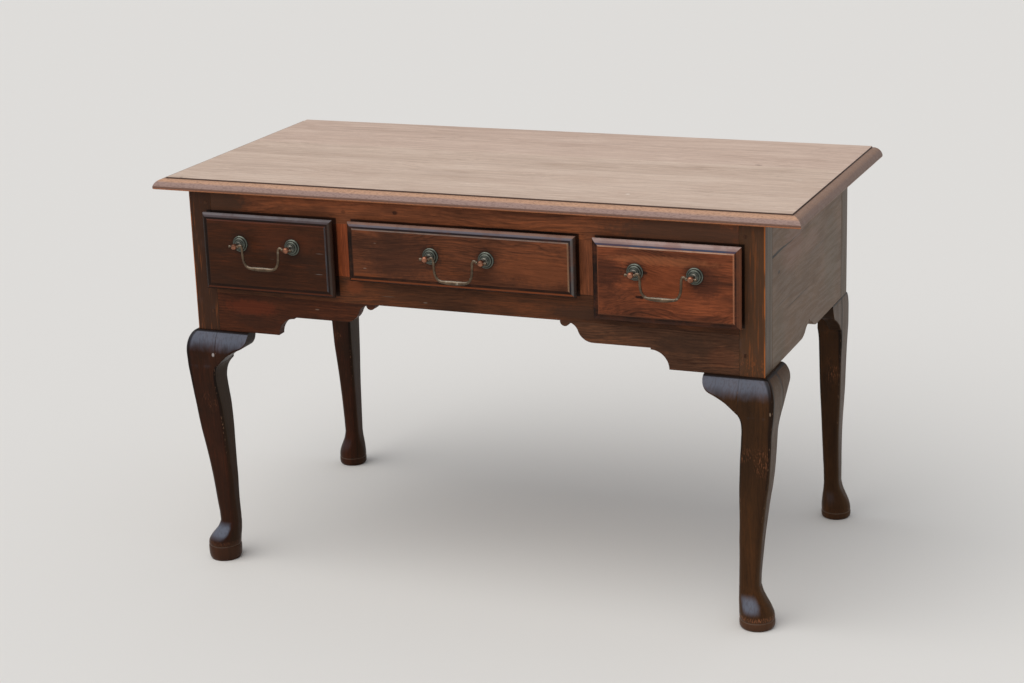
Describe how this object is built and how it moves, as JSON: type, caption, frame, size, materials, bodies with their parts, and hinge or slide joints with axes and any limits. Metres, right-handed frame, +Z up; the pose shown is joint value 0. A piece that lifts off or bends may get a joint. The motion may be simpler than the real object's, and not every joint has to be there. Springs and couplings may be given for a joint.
{
  "type": "lowboy",
  "caption": "Oak lowboy on cabriole legs with pad feet, moulded top, shaped apron and lipped drawers hung with swan-neck brass handles",
  "frame": {"origin": "on the floor under the middle of the whole object's bounding box", "axes": "+X along the front towards the right-hand end as seen from the front, +Y from front to back, +Z up"},
  "size_m": [1.216, 0.6406, 0.74],
  "materials": {
    "oak_top": "matt, faded oak with a little wax",
    "oak_case": "dark stained and polished oak, satin",
    "oak_drawer_front": "reddish-brown polished oak, satin",
    "oak_inside": "unpolished oak, dry and a little dusty",
    "brass": "old brass, dull olive patina worn bright on the grips"
  },
  "bodies": {
    "case": {"apron_left": "oak_case", "apron_right": "oak_case", "back_panel": "oak_inside", "divider_left": "oak_case", "divider_right": "oak_case", "glue_blocks": "oak_inside", "joint_pegs": "oak_case", "kicker_inner_left": "oak_inside", "kicker_inner_right": "oak_inside", "kicker_outer_left": "oak_inside", "kicker_outer_right": "oak_inside", "knee_ear_back_left": "oak_case", "knee_ear_back_right": "oak_case", "knee_ear_front_left": "oak_case", "knee_ear_front_right": "oak_case", "knee_ear_side_left": "oak_case", "knee_ear_side_right": "oak_case", "leg_back_left": "oak_case", "leg_back_right": "oak_case", "leg_front_left": "oak_case", "leg_front_right": "oak_case", "long_rail": "oak_case", "runner_inner_left": "oak_inside", "runner_inner_right": "oak_inside", "runner_middle_left": "oak_inside", "runner_middle_right": "oak_inside", "runner_outer_left": "oak_inside", "runner_outer_right": "oak_inside", "side_panel_left": "oak_case", "side_panel_right": "oak_case", "top_board_back": "oak_top", "top_board_front": "oak_top", "top_rail": "oak_case"},
    "left_drawer": {"drawer_left_back": "oak_inside", "drawer_left_bottom": "oak_inside", "drawer_left_front": "oak_drawer_front", "drawer_left_handle_posts": "brass", "drawer_left_rosettes": "brass", "drawer_left_side_left": "oak_inside", "drawer_left_side_right": "oak_inside"},
    "left_bail": {"bail_left": "brass"},
    "middle_drawer": {"drawer_middle_back": "oak_inside", "drawer_middle_bottom": "oak_inside", "drawer_middle_front": "oak_drawer_front", "drawer_middle_handle_posts": "brass", "drawer_middle_rosettes": "brass", "drawer_middle_side_left": "oak_inside", "drawer_middle_side_right": "oak_inside"},
    "middle_bail": {"bail_middle": "brass"},
    "right_drawer": {"drawer_right_back": "oak_inside", "drawer_right_bottom": "oak_inside", "drawer_right_front": "oak_drawer_front", "drawer_right_handle_posts": "brass", "drawer_right_rosettes": "brass", "drawer_right_side_left": "oak_inside", "drawer_right_side_right": "oak_inside"},
    "right_bail": {"bail_right": "brass"}
  },
  "joints": [
    {"name": "left_drawer_slide", "type": "slide", "parent": "case", "child": "left_drawer", "axis": [0, -1, 0], "range_m": [-0.013, 0.35]},
    {"name": "left_bail_hinge", "type": "hinge", "parent": "left_drawer", "child": "left_bail", "pos_m": [-0.3765, -0.31534, 0.6305], "axis": [-1, 0, 0], "range_deg": [-26, 110]},
    {"name": "middle_drawer_slide", "type": "slide", "parent": "case", "child": "middle_drawer", "axis": [0, -1, 0], "range_m": [-0.013, 0.35]},
    {"name": "middle_bail_hinge", "type": "hinge", "parent": "middle_drawer", "child": "middle_bail", "pos_m": [0, -0.31534, 0.6325], "axis": [-1, 0, 0], "range_deg": [-26, 110]},
    {"name": "right_drawer_slide", "type": "slide", "parent": "case", "child": "right_drawer", "axis": [0, -1, 0], "range_m": [-0.013, 0.35]},
    {"name": "right_bail_hinge", "type": "hinge", "parent": "right_drawer", "child": "right_bail", "pos_m": [0.3765, -0.31534, 0.6305], "axis": [-1, 0, 0], "range_deg": [-26, 110]}
  ]
}
